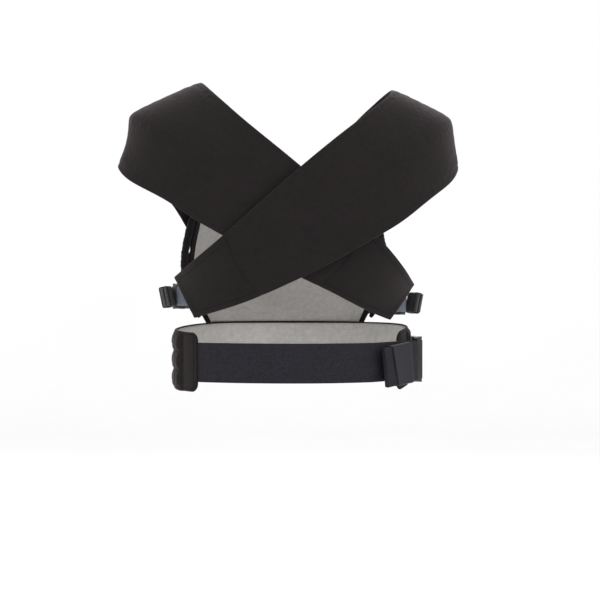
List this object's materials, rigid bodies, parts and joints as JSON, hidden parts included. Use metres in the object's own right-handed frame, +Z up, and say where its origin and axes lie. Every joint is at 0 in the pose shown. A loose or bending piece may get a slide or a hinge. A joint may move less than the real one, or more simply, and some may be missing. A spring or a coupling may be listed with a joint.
{
  "type": "soft baby carrier",
  "caption": "Soft front baby carrier with a padded body panel, wide straps that cross on the back, padded waistband, fold-down head support and side-release buckles.",
  "frame": {"origin": "centre of the waist opening, level with the middle of the waist webbing at the back", "axes": "+Z up, +Y forward from the wearer, +X to the wearer's right"},
  "size_m": [0.4454, 0.3233, 0.3986],
  "materials": {
    "carrier_fabric": "matte",
    "lining_fabric": "matte",
    "foam": "matte",
    "waist_webbing": "matte",
    "side_webbing": "matte",
    "elastic": "matte",
    "buckle_plastic": "satin",
    "snap_plastic": "satin"
  },
  "bodies": {
    "root": {"panel_shell": "carrier_fabric", "panel_foam": "foam", "panel_lining": "lining_fabric", "leg_pad_left": "carrier_fabric", "leg_pad_right": "carrier_fabric", "head_stud_left": "snap_plastic", "head_stud_right": "snap_plastic", "waistband_face": "carrier_fabric", "waistband_foam": "foam", "waistband_backing": "lining_fabric", "left_strap_face": "carrier_fabric", "left_strap_pad": "foam", "left_strap_lining": "carrier_fabric", "left_strap_end": "carrier_fabric", "right_strap_face": "carrier_fabric", "right_strap_pad": "foam", "right_strap_lining": "carrier_fabric", "right_strap_end": "carrier_fabric", "waist_webbing": "waist_webbing", "waist_webbing_end": "waist_webbing", "waist_socket_webbing": "waist_webbing", "waist_socket": "buckle_plastic", "left_side_webbing": "side_webbing", "left_socket_webbing": "side_webbing", "left_anchor": "side_webbing", "left_socket": "buckle_plastic", "right_side_webbing": "side_webbing", "right_socket_webbing": "side_webbing", "right_anchor": "side_webbing", "right_socket": "buckle_plastic"},
    "head_support": {"head_support_face": "carrier_fabric", "head_support_foam": "foam", "head_support_lining": "lining_fabric", "head_snap_caps": "snap_plastic"},
    "waist_plug": {"waist_plug": "buckle_plastic", "waist_tail": "waist_webbing"},
    "waist_latch_upper": {"waist_latch_upper": "buckle_plastic"},
    "waist_latch_lower": {"waist_latch_lower": "buckle_plastic"},
    "waist_tail": {"waist_tail_fold": "waist_webbing"},
    "waist_keeper": {"waist_keeper": "elastic"},
    "left_plug": {"left_plug": "buckle_plastic", "left_tail": "side_webbing"},
    "left_latch_upper": {"left_latch_upper": "buckle_plastic"},
    "left_latch_lower": {"left_latch_lower": "buckle_plastic"},
    "left_tail": {"left_tail_fold": "side_webbing"},
    "left_keeper": {"left_keeper": "elastic"},
    "right_plug": {"right_plug": "buckle_plastic", "right_tail": "side_webbing"},
    "right_latch_upper": {"right_latch_upper": "buckle_plastic"},
    "right_latch_lower": {"right_latch_lower": "buckle_plastic"},
    "right_tail": {"right_tail_fold": "side_webbing"},
    "right_keeper": {"right_keeper": "elastic"}
  },
  "joints": [
    {"name": "waist_release", "type": "slide", "parent": "root", "child": "waist_plug", "axis": [0.0175, -0.9998, 0], "range_m": [0, 0.032], "deforming": ["waist_webbing_end", "waist_latch_upper", "waist_latch_lower"]},
    {"name": "waist_latch_upper_press", "type": "hinge", "parent": "waist_plug", "child": "waist_latch_upper", "pos_m": [0.16265, 0.0029, 0.0278], "axis": [-0.9998, -0.0175, 0], "range_deg": [0, 12], "stiffness_Nm_per_rad": 0.05},
    {"name": "waist_latch_lower_press", "type": "hinge", "parent": "waist_plug", "child": "waist_latch_lower", "pos_m": [0.16265, 0.0029, -0.0238], "axis": [0.9998, 0.0175, 0], "range_deg": [0, 12], "stiffness_Nm_per_rad": 0.05},
    {"name": "waist_tail_pull", "type": "slide", "parent": "waist_plug", "child": "waist_tail", "axis": [-0.7353, -0.6667, -0.1219], "range_m": [0, 0.04], "deforming": ["waist_tail"]},
    {"name": "waist_keeper_slide", "type": "slide", "parent": "waist_tail", "child": "waist_keeper", "axis": [0.7353, 0.6667, 0.1219], "range_m": [-0.054, 0.001]},
    {"name": "left_release", "type": "slide", "parent": "root", "child": "left_plug", "axis": [-0.309, -0.9511, 0], "range_m": [0, 0.026], "deforming": ["left_side_webbing", "left_latch_upper", "left_latch_lower"]},
    {"name": "left_latch_upper_press", "type": "hinge", "parent": "left_plug", "child": "left_latch_upper", "pos_m": [-0.14486, 0.04134, 0.09725], "axis": [-0.9511, 0.309, 0], "range_deg": [0, 12], "stiffness_Nm_per_rad": 0.02},
    {"name": "left_latch_lower_press", "type": "hinge", "parent": "left_plug", "child": "left_latch_lower", "pos_m": [-0.14486, 0.04134, 0.07075], "axis": [0.9511, -0.309, 0], "range_deg": [0, 12], "stiffness_Nm_per_rad": 0.02},
    {"name": "left_tail_pull", "type": "slide", "parent": "left_plug", "child": "left_tail", "axis": [-0.309, -0.9511, 0], "range_m": [0, 0.03], "deforming": ["left_tail"]},
    {"name": "left_keeper_slide", "type": "slide", "parent": "left_tail", "child": "left_keeper", "axis": [0.309, 0.9511, 0], "range_m": [-0.03, 0.005]},
    {"name": "right_release", "type": "slide", "parent": "root", "child": "right_plug", "axis": [0.309, -0.9511, 0], "range_m": [0, 0.026], "deforming": ["right_side_webbing", "right_latch_upper", "right_latch_lower"]},
    {"name": "right_latch_upper_press", "type": "hinge", "parent": "right_plug", "child": "right_latch_upper", "pos_m": [0.14486, 0.04134, 0.08925], "axis": [-0.9511, -0.309, 0], "range_deg": [0, 12], "stiffness_Nm_per_rad": 0.02},
    {"name": "right_latch_lower_press", "type": "hinge", "parent": "right_plug", "child": "right_latch_lower", "pos_m": [0.14486, 0.04134, 0.06275], "axis": [0.9511, 0.309, 0], "range_deg": [0, 12], "stiffness_Nm_per_rad": 0.02},
    {"name": "right_tail_pull", "type": "slide", "parent": "right_plug", "child": "right_tail", "axis": [0.309, -0.9511, 0], "range_m": [0, 0.03], "deforming": ["right_tail"]},
    {"name": "right_keeper_slide", "type": "slide", "parent": "right_tail", "child": "right_keeper", "axis": [-0.309, 0.9511, 0], "range_m": [-0.03, 0.005]},
    {"name": "head_fold", "type": "hinge", "parent": "root", "child": "head_support", "pos_m": [0, 0.15, 0.25], "axis": [1, 0, 0], "range_deg": [0, 165]}
  ],
  "couplings": [
    {"joint": "waist_latch_lower_press", "follows": "waist_latch_upper_press", "ratio": 1},
    {"joint": "left_latch_lower_press", "follows": "left_latch_upper_press", "ratio": 1},
    {"joint": "right_latch_lower_press", "follows": "right_latch_upper_press", "ratio": 1}
  ]
}
